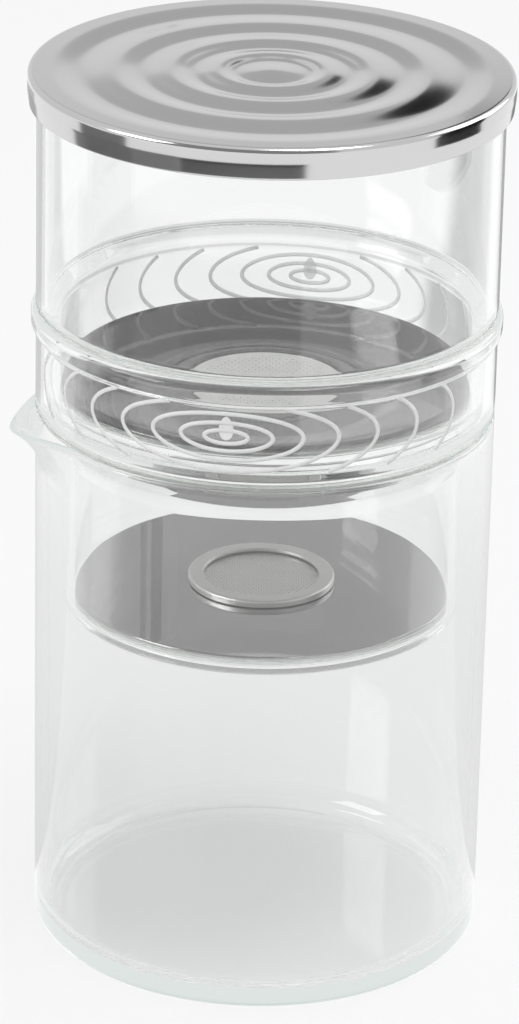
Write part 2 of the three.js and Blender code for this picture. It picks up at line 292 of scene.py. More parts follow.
class CoffeeMaker(bpy.types.PropertyGroup):
    tube: group(TubeSizes, "Tube")
    jug: group(JugSizes, "Jug")
    chamber: group(ChamberSizes, "Coffee chamber")
    tank: group(TankSizes, "Water tank")
    steel: group(SteelSizes, "Steel plates")
    lid: group(LidSizes, "Lid")
    print: group(PrintSizes, "Print")
    finish: group(Finishes, "Finishes")
    studio: group(Studio, "Studio")


# Node trees


def maths(operation, reflected=False):
    """A method that adds a Math node, with its operands the other way round if reflected."""
    def method(*values):
        inputs = dict(enumerate(reversed(values) if reflected else values))
        return values[0].nodes.add("ShaderNodeMath", {"operation": operation}, inputs)
    return method


class Value:
    """A socket of a node tree. Arithmetic on it adds the Math nodes."""

    def __init__(self, nodes, socket):
        self.nodes, self.socket = nodes, socket

    __add__ = __radd__ = maths("ADD")
    __mul__ = __rmul__ = maths("MULTIPLY")
    __sub__ = maths("SUBTRACT")
    __rsub__ = maths("SUBTRACT", reflected=True)
    __truediv__ = maths("DIVIDE")
    __rtruediv__ = maths("DIVIDE", reflected=True)
    __pow__ = maths("POWER")
    __mod__ = maths("FLOORED_MODULO")
    __lt__ = maths("LESS_THAN")
    __gt__ = maths("GREATER_THAN")
    smallest = maths("MINIMUM")
    largest = maths("MAXIMUM")
    absolute = maths("ABSOLUTE")
    floor = maths("FLOOR")
    ceiling = maths("CEIL")
    nearest = maths("ROUND")
    root = maths("SQRT")
    sine = maths("SINE")
    cosine = maths("COSINE")
    arcsine = maths("ARCSINE")
    arctan2 = maths("ARCTAN2")
    degrees = maths("DEGREES")


class Nodes:
    """Fills one node tree. Every node comes from `add`."""

    def __init__(self, tree):
        self.tree = tree

    def add(self, kind, settings=None, inputs=None, out=0):
        node = self.tree.nodes.new(kind)
        for name, value in (settings or {}).items():
            setattr(node, name, value)
        for key, value in (inputs or {}).items():
            if isinstance(value, Value):
                self.tree.links.new(value.socket, node.inputs[key])
            else:
                node.inputs[key].default_value = value
        return Value(self, node.outputs[out]) if len(node.outputs) else None

    def outputs(self, kind, names, inputs=None):
        """Several outputs of one node."""
        node = self.add(kind, inputs=inputs).socket.node
        return [Value(self, node.outputs[name]) for name in names]

    def split(self, vector):
        return self.outputs("ShaderNodeSeparateXYZ", "XYZ", {0: vector})

    def join(self, x, y, z):
        return self.add("ShaderNodeCombineXYZ", inputs={0: x, 1: y, 2: z})

    def position(self):
        return self.add("GeometryNodeInputPosition")

    def on_piece(self):
        return self.add("ShaderNodeTexCoord", out="Object")

    def move(self, shape, place, chosen=True):
        inputs = {"Geometry": shape, "Selection": chosen, "Position": place}
        return self.add("GeometryNodeSetPosition", inputs=inputs)


def emptied(data):
    """The nodes of a material or a world, with none in its tree yet."""
    data.use_nodes = True
    data.node_tree.nodes.clear()
    return Nodes(data.node_tree)


def radius_of(x, y):
    return (x * x + y * y).root()


LENGTH = ("NodeSocketFloat", "DISTANCE")
ANGLE = ("NodeSocketFloat", "ANGLE")
NUMBER = ("NodeSocketFloat", "NONE")
WHOLE = ("NodeSocketInt", "NONE")


def growing_tree(name, build, inputs):
    """A geometry tree with named inputs. `build` takes the nodes and the inputs and gives a shape."""
    tree = bpy.data.node_groups.new(name, "GeometryNodeTree")
    tree.interface.new_socket("Geometry", in_out="INPUT", socket_type="NodeSocketGeometry")
    for (kind, subtype), labels in inputs.items():
        for label in labels.split(", "):
            socket = tree.interface.new_socket(label, in_out="INPUT", socket_type=kind)
            socket.subtype = subtype
    tree.interface.new_socket("Material", in_out="INPUT", socket_type="NodeSocketMaterial")
    tree.interface.new_socket("Geometry", in_out="OUTPUT", socket_type="NodeSocketGeometry")
    nodes = Nodes(tree)
    start = tree.nodes.new("NodeGroupInput")
    given = {socket.name: Value(nodes, socket) for socket in start.outputs if socket.name}
    shape = build(nodes, given)
    shape = nodes.add("GeometryNodeRealizeInstances", inputs={0: shape})
    nodes.add("NodeGroupOutput", inputs={0: nodes.add(
        "GeometryNodeSetMaterial", inputs={"Geometry": shape, "Material": given["Material"]}
    )})
    return tree


def turned(nodes, given):
    """Sweeps the outline's points once round the upright axis."""
    size = {"Geometry": given["Geometry"]}
    points = nodes.add("GeometryNodeAttributeDomainSize", {"component": "MESH"}, size, "Point Count")
    rows = points + given["Closed"]
    grid = nodes.add("GeometryNodeMeshGrid", inputs={
        "Size X": 1.0, "Size Y": 1.0, "Vertices X": given["Facets"] + 1, "Vertices Y": rows,
    })
    across, along, _ = nodes.split(nodes.position())
    row = nodes.add(
        "FunctionNodeFloatToInt", {"rounding_mode": "ROUND"}, {0: (along + 0.5) * (rows - 1)}
    )
    place = nodes.add("GeometryNodeSampleIndex", {"data_type": "FLOAT_VECTOR"}, {
        "Geometry": given["Geometry"], "Value": nodes.position(), "Index": row % points,
    })
    radius, _, height = nodes.split(place)
    turn = (across + 0.5) * math.tau
    shape = nodes.move(grid, nodes.join(radius * turn.cosine(), radius * turn.sine(), height))
    shape = nodes.add("GeometryNodeMergeByDistance", inputs={"Geometry": shape, "Distance": WELD})
    return nodes.add("GeometryNodeSetShadeSmooth", inputs={0: shape})


def spouted(nodes, given):
    """Carries the jug's rim out to the spout's tip, inner and outer face alike."""
    x, y, z = nodes.split(nodes.position())
    radius = radius_of(x, y)
    forward = x * given["Bearing"].cosine() + y * given["Bearing"].sine()
    sideways = y * given["Bearing"].cosine() - x * given["Bearing"].sine()
    off_axis = sideways.arctan2(forward).absolute()
    across = (off_axis / given["Half span"]).smallest(1.0)
    down = ((given["Rim"] - z) / given["Depth"]).smallest(1.0).largest(0.0)
    softness = given["Softness"]
    soft = radius_of(across, softness) - softness
    soft_end = (softness * softness + 1.0).root() - softness
    fullness, taper = 1.5, 2.0      # how fast the swelling falls off sideways and downwards
    share = (1.0 - soft / soft_end).largest(0.0) ** fullness * (1.0 - down) ** taper
    stretch = (radius + given["Reach"] * share) / radius.largest(WELD)
    place = nodes.join(x * stretch, y * stretch, z - given["Droop"] * share * share)
    return nodes.move(given["Geometry"], place)


def rippled(nodes, given):
    """Presses ringed waves that widen outwards into both faces of the lid."""
    x, y, z = nodes.split(nodes.position())
    radius = radius_of(x, y)
    first, wave, growth = given["First trough"], given["Half wave"], given["Growth"]
    beyond = (radius - first).largest(0.0)
    start = wave - growth / 2.0
    waves = ((start * start + growth * beyond * 2.0).root() - start) / growth
    phase = ((radius / first).smallest(1.0) + waves) * math.pi
    phase = phase + given["Lean"] * (phase.cosine() - 1.0)
    height = z + given["Height"] / 2.0 * (phase.cosine() - 1.0)
    return nodes.move(given["Geometry"], nodes.join(x, y, height), radius < given["Field"])


def perforated(nodes, given):
    """A round sheet with rows of round holes on a triangular grid."""
    pitch, thickness, inside = given["Pitch"], given["Thickness"], given["Perforated radius"]
    sheet = nodes.add("GeometryNodeMeshCylinder", inputs={
        "Vertices": SHEET_FACETS, "Radius": given["Radius"], "Depth": thickness,
    })
    row_height = pitch * math.sin(math.pi / 3)
    rows = (inside / row_height).ceiling()
    columns = (inside / pitch).ceiling() + 1.0
    grid = nodes.add("GeometryNodeMeshGrid", inputs={
        "Size X": columns * pitch * 2.0, "Size Y": rows * row_height * 2.0,
        "Vertices X": columns * 2.0 + 1.0, "Vertices Y": rows * 2.0 + 1.0,
    })
    x, y, z = nodes.split(nodes.position())
    odd = (y / row_height).nearest() % 2.0
    grid = nodes.move(grid, nodes.join(x + odd * pitch / 2.0, y, 0.0))
    holes = nodes.add("GeometryNodeInstanceOnPoints", inputs={
        "Points": grid, "Selection": radius_of(x, y) + given["Hole radius"] < inside,
        "Instance": nodes.add("GeometryNodeMeshCylinder", inputs={
            "Vertices": HOLE_FACETS, "Radius": given["Hole radius"], "Depth": thickness * 3.0,
        }),
    })
    holes = nodes.add("GeometryNodeRealizeInstances", inputs={0: holes})
    shape = nodes.add("GeometryNodeMeshBoolean", {"operation": "DIFFERENCE", "solver": "EXACT"}, {
        "Mesh 1": sheet, "Mesh 2": holes,
    })
    return nodes.move(shape, nodes.join(x, y, z + given["Foot"] + thickness / 2.0))


def ringed(nodes, given):
    """Flat elliptical lines laid on the wall, two arcs to a ring, cut off at the print's edges."""
    steps = 48.0
    points = steps + 1.0
    index = nodes.add("GeometryNodeInputIndex")
    stroke = (index / points).floor()
    along = (index % points) / steps
    ring = (stroke / 2.0).floor()
    side = 1.0 - (stroke % 2.0) * 2.0
    width = given["First ring"] + given["Step"] * ring + given["Widening"] * ring * ring
    height = width * given["Flatness"]
    above = ((given["High"] - given["Centre"]) / height).smallest(1.0).arcsine()
    below = ((given["Centre"] - given["Low"]) / height).smallest(1.0).arcsine()
    turn = (above + below) * along - below
    bearing = given["Bearing"] + side * width * turn.cosine() / given["Wall radius"]
    radius = given["Wall radius"] + given["Enamel"] / 2.0
    rise = given["Centre"] + height * turn.sine()
    lines = nodes.add("GeometryNodePointsToCurves", inputs={
        "Points": nodes.add("GeometryNodePoints", inputs={
            "Count": given["Rings"] * 2.0 * points,
            "Position": nodes.join(bearing.cosine() * radius, bearing.sine() * radius, rise),
        }),
        "Curve Group ID": stroke,
    })
    x, y, _ = nodes.split(nodes.position())
    lines = nodes.add("GeometryNodeSetCurveNormal", {"mode": "FREE"}, {
        "Curve": lines, "Normal": nodes.join(x, y, 0.0),
    })
    section = nodes.add("GeometryNodeCurvePrimitiveQuadrilateral", inputs={
        "Width": given["Enamel"], "Height": given["Line"],
    })
    return nodes.add("GeometryNodeCurveToMesh", inputs={
        "Curve": lines, "Profile Curve": section, "Fill Caps": True,
    })


def mesh_of(name, corners, edges, faces, *materials):
    mesh = bpy.data.meshes.new(name)
    mesh.from_pydata(corners, edges, faces)
    for material in materials:
        mesh.materials.append(material)
    return mesh


def placed(name, data):
    """A new object in the scene."""
    thing = bpy.data.objects.new(name, data)
    bpy.context.scene.collection.objects.link(thing)
    return thing


def grow(name, start, material, *steps):
    """Runs the geometry trees that are named, with their inputs, on a start mesh, and keeps
    what comes out as a plain mesh."""
    piece = placed(name, start)
    for label, inputs in steps:
        modifier = piece.modifiers.new(label, "NODES")
        modifier.node_group = tree_named(label)
        given = {**inputs, "Material": material}
        for item in modifier.node_group.interface.items_tree:
            if item.in_out == "INPUT" and item.name != "Geometry":
                modifier[item.identifier] = given[item.name]
    bpy.context.view_layer.update()
    graph = bpy.context.evaluated_depsgraph_get()
    finished = bpy.data.meshes.new_from_object(piece.evaluated_get(graph), depsgraph=graph)
    finished.name = name
    finished.materials.clear()
    finished.materials.append(material)
    piece.modifiers.clear()
    piece.data = finished
    return piece


# Outlines of the turned pieces


def rounded(before, corner, after):
    """Points of the arc that rounds a corner. A corner is (radius, height, rounding)."""
    middle = Vector(corner[:2])
    if not corner[2]:
        return [middle]
    back = (Vector(before[:2]) - middle).normalized()
    on = (Vector(after[:2]) - middle).normalized()
    half = back.angle(on) / 2
    centre = middle + (back + on).normalized() * corner[2] / math.sin(half)
    start = middle + back * corner[2] / math.tan(half) - centre
    end = middle + on * corner[2] / math.tan(half) - centre
    sweep = start.angle_signed(end)
    steps = max(2, math.ceil(abs(sweep) / (math.pi / 2) * ARC_STEPS))
    return [centre + Matrix.Rotation(-sweep * i / steps, 2) @ start for i in range(steps + 1)]


def between(start, end, longest):
    """Extra points on a straight run: one close to each end, and more where it is long."""
    run = end - start
    if run.length < 3 * SUPPORT:
        return []
    first = start + run.normalized() * SUPPORT
    last = end - run.normalized() * SUPPORT
    steps = max(1, math.ceil((last - first).length / longest))
    return [first.lerp(last, i / steps) for i in range(steps + 1)]


def outline(corners, longest=1.0):
    """Start mesh of a turned piece: its outline, anticlockwise, the radius along X."""
    closed = corners[0][0] > 0
    total = len(corners)
    runs = [
        rounded(corners[i - 1], corners[i], corners[(i + 1) % total]) for i in range(total)
    ]
    points = []
    for i, run in enumerate(runs):
        points += run
        if closed or i + 1 < total:
            points += between(run[-1], runs[(i + 1) % total][0], longest)
    steps = [(i, i + 1) for i in range(len(points) - 1)]
    return mesh_of("outline", [(point.x, 0, point.y) for point in points], steps, [])


def washer(inner, outer, foot, thickness, edge):
    """Corners of a flat ring."""
    top = foot + thickness
    return [(inner, foot, edge), (outer, foot, edge), (outer, top, edge), (inner, top, edge)]


def carried(piece, node):
    """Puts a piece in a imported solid's place."""
    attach(piece, BODY_OF[node])
    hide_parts(node)


def turned_piece(maker, node, corners, material, *steps, longest=1.0):
    """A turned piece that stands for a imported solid."""
    turning = ("Turned piece", {
        "Facets": maker.tube.facets, "Closed": int(corners[0][0] > 0),
    })
    start = outline(corners, longest)
    carried(grow(f"{node}_piece", start, material, turning, *steps), node)


def glass_piece(maker, node, corners, *steps):
    """The same in clear glass."""
    glass = finish_named("clear_glass", clear_glass, maker.finish)
    turned_piece(maker, node, corners, glass, *steps)


def sieve(steel, node, pitch, inside, material):
    """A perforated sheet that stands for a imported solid. Its holes lie within `inside`."""
    low, high = span(node)
    carried(grow(f"{node}_piece", bpy.data.meshes.new(node), material, ("Perforated sheet", {
        "Radius": reach(node), "Thickness": high - low, "Foot": low, "Hole radius": steel.hole,
        "Pitch": pitch, "Perforated radius": inside,
    })), node)


TREES = {               # what builds each tree, and the inputs that it has of each kind
    "Turned piece": (turned, {WHOLE: "Facets, Closed"}),
    "Pouring spout": (spouted, {
        ANGLE: "Bearing, Half span", LENGTH: "Rim, Depth, Reach, Droop", NUMBER: "Softness",
    }),
    "Lid ripples": (rippled, {
        LENGTH: "First trough, Half wave, Growth, Height, Field", NUMBER: "Lean",
    }),
    "Perforated sheet": (perforated, {
        LENGTH: "Radius, Thickness, Foot, Hole radius, Pitch, Perforated radius",
    }),
    "Ripple print": (ringed, {
        WHOLE: "Rings", ANGLE: "Bearing", NUMBER: "Flatness",
        LENGTH: "First ring, Step, Widening, Wall radius, Enamel, Line, Centre, Low, High",
    }),
}


def tree_named(name):
    """The geometry tree of that name, built the first time that it is asked for."""
    return bpy.data.node_groups.get(name) or growing_tree(name, *TREES[name])


# Finishes


def finish_named(name, build, *values):
    """The material of that name, built the first time that it is asked for."""
    material = bpy.data.materials.get(name)
    if material:
        return material
    material = bpy.data.materials.new(name)
    nodes = emptied(material)
    nodes.add("ShaderNodeOutputMaterial", inputs=build(nodes, *values))
    return material


def opaque(colour, share=1.0):
    """The colour, darkened or brightened, with nothing of it clear."""
    return (*(share * part for part in colour), 1.0)


def noise(nodes, place, scale, detail=2.0, roughness=0.5):
    return nodes.add("ShaderNodeTexNoise", inputs={
        "Vector": place, "Scale": scale, "Detail": detail, "Roughness": roughness,
    })


def mix(nodes, factor, first, second):
    return nodes.add("ShaderNodeMix", {"data_type": "RGBA"}, {0: factor, 6: first, 7: second}, 2)


def blend(nodes, factor, first, second):
    return nodes.add("ShaderNodeMixShader", inputs={0: factor, 1: first, 2: second})


def surface(nodes, colour, rough, height, depth, more):
    """A plain surface with a relief of that depth, and more of its settings."""
    relief = nodes.add("ShaderNodeBump", inputs={
        "Height": height, "Distance": depth, "Strength": 1.0,
    })
    return nodes.add("ShaderNodeBsdfPrincipled", inputs={
        "Base Color": colour, "Roughness": rough, "Normal": relief, **more,
    })


def passing_light(nodes, clear, shade):
    """Lets the lamps shine through a clear surface, and paints a pale glow where light is trapped in
    thick edges.
    """
    mirrored, bounces, shadow = nodes.outputs(
        "ShaderNodeLightPath", ("Glossy Depth", "Ray Depth", "Is Shadow Ray")
    )
    painted_glow_share = (mirrored > MOST_MIRRORED).largest(bounces > MOST_BOUNCES)
    # painted light: an even pale glow stands in for light trapped in the glass
    glow = nodes.add("ShaderNodeEmission", inputs={"Color": (0.98, 1.0, 0.99, 1.0), "Strength": 0.8})
    gap = nodes.add("ShaderNodeBsdfTransparent", inputs={"Color": opaque([shade] * 3)})
    return blend(nodes, shadow, blend(nodes, painted_glow_share, clear, glow), gap)


def clear_glass(nodes, finish):
    """Drawn borosilicate: faint upright waves, and a green cast where it is thick."""
    drawn = nodes.add("ShaderNodeMapping", inputs={
        "Vector": nodes.on_piece(), "Scale": (60.0, 60.0, 9.0),
    })
    clear = surface(nodes, WHITE, 0.0, noise(nodes, drawn, 1.0, detail=1.0), 0.05 * MM, {
        "IOR": 1.43, "Transmission Weight": 1.0,
    })
    volume = nodes.add("ShaderNodeVolumeAbsorption", inputs={
        "Color": opaque(finish.glass), "Density": finish.density,
    })
    return {"Surface": passing_light(nodes, clear, shade=0.94), "Volume": volume}


def polished_steel(nodes, colour, rough):
    """Mirror polish with fine turned lines and a few dull smears."""
    place = nodes.on_piece()
    x, y, z = nodes.split(place)
    lines = noise(nodes, nodes.join(radius_of(x, y) * 2600.0, z * 900.0, 0.0), 1.0, detail=3.0)
    smears = noise(nodes, place, 38.0, detail=4.0, roughness=0.6)
    shade = mix(nodes, smears, opaque(colour, 0.96), opaque(colour))
    rough = rough + smears * rough * 0.5
    return {"Surface": surface(nodes, shade, rough, lines, 0.0001 * MM, {"Metallic": 1.0})}


def satin_steel(nodes, colour, metal):
    """Fine etched sheet, slightly mottled, and paler where `metal` is less than 1."""
    place = nodes.on_piece()
    grain = noise(nodes, place, 5200.0, roughness=0.7)
    mottle = noise(nodes, place, 210.0, detail=5.0, roughness=0.65)
    shade = mix(nodes, mottle, opaque(colour, 0.86), opaque(colour, 1.1))
    rough = 0.3 + mottle * 0.2
    return {"Surface": surface(nodes, shade, rough, grain, 0.01 * MM, {"Metallic": metal})}


def clear_silicone(nodes, colour):
    """Clear rubber with a soft bloom."""
    bloom = noise(nodes, nodes.on_piece(), 160.0, detail=3.0)
    shade = mix(nodes, bloom, opaque(colour, 0.95), opaque(colour))
    clear = surface(nodes, shade, 0.1 + bloom * 0.1, bloom, 0.02 * MM, {
        "IOR": 1.3, "Transmission Weight": 0.9,
    })
    return {"Surface": passing_light(nodes, clear, shade=0.8)}


def fired_enamel(nodes, colour):
    """White enamel, fired on, with fine pits. Some light comes through it."""
    place = nodes.on_piece()
    pits = noise(nodes, place, 2400.0)
    cloud = noise(nodes, place, 300.0, detail=3.0)
    shade = mix(nodes, cloud, opaque(colour, 0.92), opaque(colour))
    front = surface(nodes, shade, 0.35 + cloud * 0.15, pits, 0.01 * MM, {})
    through = nodes.add("ShaderNodeBsdfTranslucent", inputs={"Color": opaque(colour)})
    return {"Surface": blend(nodes, 0.5, front, through)}


def felt(nodes, shade):
    """Dull grey felt."""
    nap = noise(nodes, nodes.on_piece(), 700.0, detail=3.0)
    grey = [shade] * 3
    shade = mix(nodes, nap, opaque(grey, 0.7), opaque(grey))
    return {"Surface": surface(nodes, shade, 0.95, nap, 0.1 * MM, {"Specular IOR Level": 0.0})}


def stepped(nodes, value, limit, soft):
    """0 below a limit and 1 above it, with a soft edge."""
    return nodes.add("ShaderNodeMapRange", {"interpolation_type": "SMOOTHSTEP"}, {
        "Value": value, "From Min": limit - soft, "From Max": limit + soft,
    })


def on_card(nodes, across, along, card, soft):
    """1 on a card, which is given as (low, high) across and (low, high) along."""
    mask = 1.0
    for value, (low, high) in zip((across, along), card):
        mask = stepped(nodes, value, low, soft) * (1.0 - stepped(nodes, value, high, soft)) * mask
    return mask


def past_painted_patches(nodes, bearing, away, cards):
    """Brightness that the painted dark patches on the floor leave at a bearing and a distance in
    centimetres.
    """
    pale = 1.0
    for turn, distance, shade in cards:
        card = (turn, [limit * 100.0 for limit in distance])
        pale = (1.0 - on_card(nodes, bearing, away, card, PAINTED_PATCH_EDGE) * (1.0 - shade)) * pale
    return pale


def bearing_of(x, y):
    """Degrees clockwise from the back."""
    return x.arctan2(y).degrees() % 360.0


def pale_floor(nodes, studio):
    """Matt floor that shows as the white backdrop and keeps the shadow. Reflections and glass also
    see painted dark patches on it, and glass sees a painted shadow round the object.
    """
    place = nodes.on_piece()
    grain = noise(nodes, place, 900.0, detail=3.0)
    matt = surface(nodes, opaque(studio.floor), 0.9, grain, 0.05 * MM, {"Specular IOR Level": 0.0})
    camera, glossy, through = nodes.outputs(
        "ShaderNodeLightPath", ("Is Camera Ray", "Is Glossy Ray", "Is Transmission Ray")
    )
    mirrored = glossy * (1.0 - through)
    x, y, _ = nodes.split(place)
    bearing, away = bearing_of(x, y), radius_of(x, y) * 100.0
    near, ring, soft = 0.7, 26.0, 9.0       # painted shadow: glass shows the floor darker within this ring round the object
    painted_shadow = near + stepped(nodes, away, ring, soft) * (1.0 - near)
    # painted reflections: dark patches on the floor that only mirrors and glass see
    pale = past_painted_patches(nodes, bearing, away, PAINTED_FLOOR_REFLECTIONS)
    wall_painted_reflections = past_painted_patches(nodes, bearing, away, PAINTED_WALL_REFLECTIONS)
    seen, reflected = 0.95, 1.1             # brightness to the camera and in mirrors
    glow = nodes.add("ShaderNodeEmission", inputs={
        "Color": WHITE,
        "Strength": camera * seen + (mirrored * wall_painted_reflections * reflected + through * painted_shadow) * pale,
    })
    for_camera, in_mirrors, in_glass = 0.8, 0.95, 0.55      # share of glow over matt floor
    shown = camera * for_camera + mirrored * in_mirrors + through * in_glass
    return {"Surface": blend(nodes, shown, matt, glow)}


# Pieces


class JugPiece(bpy.types.Operator):
    """Glass jug with its pouring spout"""

    bl_idname = "coffee_maker.jug"
    bl_label = "Jug"

    def execute(self, context):
        maker = context.scene.coffee_maker
        tube, jug = maker.tube, maker.jug
        bore = tube.radius - tube.wall
        _, top = span("jug")
        bands = 16
        heights = [top - tube.rim - jug.depth * i / bands for i in range(1, bands)]
        glass_piece(maker, "jug", [
            (0, 0, 0),
            (tube.radius, 0, jug.heel),
            *((tube.radius, height, 0) for height in reversed(heights)),
            (tube.radius, top, tube.rim),
            (bore, top, tube.rim),
            *((bore, height, 0) for height in heights),
            (bore, jug.floor, jug.cove),
            (0, jug.floor, 0),
        ], ("Pouring spout", {
            "Bearing": jug.bearing, "Half span": jug.half_span, "Rim": top, "Depth": jug.depth,
            "Reach": jug.reach, "Droop": jug.droop, "Softness": jug.softness,
        }))
        return {"FINISHED"}


class ChamberPiece(bpy.types.Operator):
    """Glass coffee chamber: beaded rim, shoulder and basket"""

    bl_idname = "coffee_maker.chamber"
    bl_label = "Coffee chamber"

    def execute(self, context):
        maker = context.scene.coffee_maker
        tube, chamber = maker.tube, maker.chamber
        foot, top = span("coffee_chamber")
        bead = reach("coffee_chamber")
        bore = tube.radius - tube.wall
        basket = bore - chamber.basket_inset
        basket_bore = basket - chamber.basket_wall
        ledge_bore = basket_bore - chamber.ledge_width
        seat = foot + chamber.basket_depth
        floor = seat + chamber.shoulder
        neck = seat - chamber.neck_depth
        bead_foot = top - chamber.bead_height
        edge = maker.steel.edge
        glass_piece(maker, "coffee_chamber", [
            (ledge_bore, foot, edge),
            (basket, foot, chamber.basket_heel),
            (basket, neck, chamber.neck_round),
            (bore - chamber.neck_clearance, seat, chamber.neck_edge),
            (tube.radius, seat, chamber.shoulder_round),
            (tube.radius, bead_foot, BEAD_COVE),
            (bead, bead_foot + tube.rim, tube.rim),
            (bead, top, chamber.bead_round),
            (bore, top, tube.rim),
            (bore, floor, tube.rim),
            (bore - chamber.neck_shelf, floor, chamber.neck_edge),
            (basket_bore, neck + chamber.neck_step, chamber.neck_round),
            (basket_bore, foot + chamber.ledge, edge),
            (ledge_bore, foot + chamber.ledge, edge),
        ])
        return {"FINISHED"}


class TankPiece(bpy.types.Operator):
    """Glass water tank with its narrower foot"""

    bl_idname = "coffee_maker.tank"
    bl_label = "Water tank"

    def execute(self, context):
        maker = context.scene.coffee_maker
        tube, tank = maker.tube, maker.tank
        foot, top = span("water_tank")
        bore = tube.radius - tube.wall
        narrow = bore - tube.slip
        narrow_bore = narrow - tank.foot_wall
        lip_bore = narrow_bore - tank.lip_width
        step = foot + tank.foot_depth
        edge = maker.steel.edge
        glass_piece(maker, "water_tank", [
            (lip_bore, foot, edge),
            (narrow, foot, tank.foot_round),
            (narrow, step, edge),
            (tube.radius, step, tank.step_round),
            (tube.radius, top, tube.rim),
            (bore, top, tube.rim),
            (bore, step + tank.slope_rise, tank.slope_round),
            (narrow_bore, step - tank.slope_drop, tank.slope_round),
            (narrow_bore, foot + tank.lip, edge),
            (lip_bore, foot + tank.lip, edge),
        ])
        return {"FINISHED"}


class FilterPieces(bpy.types.Operator):
    """Filter plate, its mesh and the ring round the mesh"""

    bl_idname = "coffee_maker.filter"
    bl_label = "Filter plate and mesh"

    def execute(self, context):
        maker = context.scene.coffee_maker
        tube, steel = maker.tube, maker.steel
        dark = finish_named("plate_steel", polished_steel, maker.finish.plate, PLATE_ROUGH)
        satin = finish_named("satin_steel", satin_steel, maker.finish.satin, MESH_METAL)
        foot, top = span("filter_plate")
        hole = reach("filter_mesh") - steel.mesh_bearing
        turned_piece(maker, "filter_plate", washer(
            hole, reach("filter_plate"), foot, steel.sheet, steel.edge
        ), dark)
        outer = reach("filter_mesh_ring")
        foot, top = top + tube.gap, top + steel.ring_height
        skirt, under = outer - steel.ring_skirt, top - steel.sheet
        turned_piece(maker, "filter_mesh_ring", [
            (steel.mesh_open, under, FINE_EDGE),
            (skirt, under, FINE_EDGE),
            (skirt, foot, FINE_EDGE / 2),
            (outer, foot, FINE_EDGE / 2),
            (outer, top, steel.ring_skirt),
            (steel.mesh_open, top, steel.edge),
        ], satin)
        sieve(steel, "filter_mesh", steel.mesh_pitch, steel.mesh_open, satin)
        return {"FINISHED"}


class DripPieces(bpy.types.Operator):
    """Drip plate, a shallow dish, and the perforated disc in its middle"""

    bl_idname = "coffee_maker.drip"
    bl_label = "Drip plate and disc"

    def execute(self, context):
        maker = context.scene.coffee_maker
        steel = maker.steel
        dark = finish_named("dish_steel", polished_steel, maker.finish.dish, PLATE_ROUGH)
        satin = finish_named("pale_satin_steel", satin_steel, maker.finish.satin, DISC_METAL)
        _, top = span("drip_plate")
        radius = reach("drip_plate")
        seat = reach("drip_disc") + maker.tube.gap
        rim = radius - steel.dish_rim
        floor = top - steel.dish_depth
        recess = floor - steel.recess_depth
        wall = seat + steel.recess_depth
        hole = seat - steel.recess_width
        edge = steel.edge
        turned_piece(maker, "drip_plate", [
            (hole, recess - steel.sheet, FINE_EDGE),
            (wall, recess - steel.sheet, edge),
            (wall + steel.sheet, floor - steel.sheet, edge),
            (rim, top - steel.sheet, steel.dish_round),
            (radius, top - steel.sheet, edge),
            (radius, top, edge),
            (rim, top, steel.dish_round),
            (wall, floor, edge),
            (seat, floor, SEAT_EDGE),
            (seat, recess, SEAT_EDGE),
            (hole, recess, FINE_EDGE),
        ], dark)
        sieve(steel, "drip_disc", steel.drip_pitch, hole, satin)
        return {"FINISHED"}


class LidPiece(bpy.types.Operator):
    """Pressed steel lid with ripples and a turned-down rim"""

    bl_idname = "coffee_maker.lid"
    bl_label = "Lid"

    def execute(self, context):
        maker = context.scene.coffee_maker
        lid, steel = maker.lid, maker.steel
        _, top = span("lid_cap")
        radius = reach("lid_cap")
        inner, under = radius - steel.sheet, top - steel.sheet
        foot = top - lid.rim_height
        middle = foot + lid.rim_height / 2
        field = inner - lid.margin
        ringed_waves = lid.waves - 1
        growths = ringed_waves * (ringed_waves - 1) / 2
        half_wave = (1 - lid.first - lid.growth * growths) / ringed_waves
        bright = finish_named("lid_steel", polished_steel, maker.finish.lid, LID_ROUGH)
        turned_piece(maker, "lid_cap", [
            (0, under, 0),
            (inner, under, lid.edge_round - steel.sheet),
            (inner, middle, RIM_BELLY),
            (inner - lid.bulge, foot, FINE_EDGE),
            (radius - lid.bulge, foot, RIM_EDGE),
            (radius, middle, RIM_BELLY),
            (radius, top, lid.edge_round),
            (0, top, 0),
        ], bright, ("Lid ripples", {
            "First trough": lid.first * field, "Half wave": half_wave * field,
            "Growth": lid.growth * field, "Height": lid.height, "Lean": lid.lean, "Field": field,
        }), longest=LID_BAND)
        return {"FINISHED"}


class SealPieces(bpy.types.Operator):
    """Clear silicone seals and gaskets"""

    bl_idname = "coffee_maker.seals"
    bl_label = "Seals and gaskets"

    def execute(self, context):
        maker = context.scene.coffee_maker
        tube, lid = maker.tube, maker.lid
        rubber = finish_named("clear_silicone", clear_silicone, maker.finish.silicone)
        widths = {
            "chamber_seal": tube.wall,
            "tank_seal": tube.wall,
            "filter_gasket": maker.chamber.ledge_width,
            "drip_gasket": maker.tank.lip_width,
        }
        for node, width in widths.items():
            foot, outer = span(node)[0], reach(node)
            turned_piece(maker, node, washer(
                outer - width, outer, foot, tube.seal, FINE_EDGE
            ), rubber)
        _, top = span("lid_seal")
        outer, inner, bore = reach("lid_seal"), tube.radius + tube.gap, tube.radius - tube.wall
        under = top - tube.seal
        hang = under - tube.gap - lid.seal_drop
        turned_piece(maker, "lid_seal", [
            (inner, hang, FINE_EDGE),
            (outer - lid.bulge / 2, hang, FINE_EDGE),
            (outer, top, lid.edge_round - maker.steel.sheet),
            (bore, top, FINE_EDGE),
            (bore, under, FINE_EDGE),
            (inner, under, FINE_EDGE / 2),
        ], rubber)
        return {"FINISHED"}


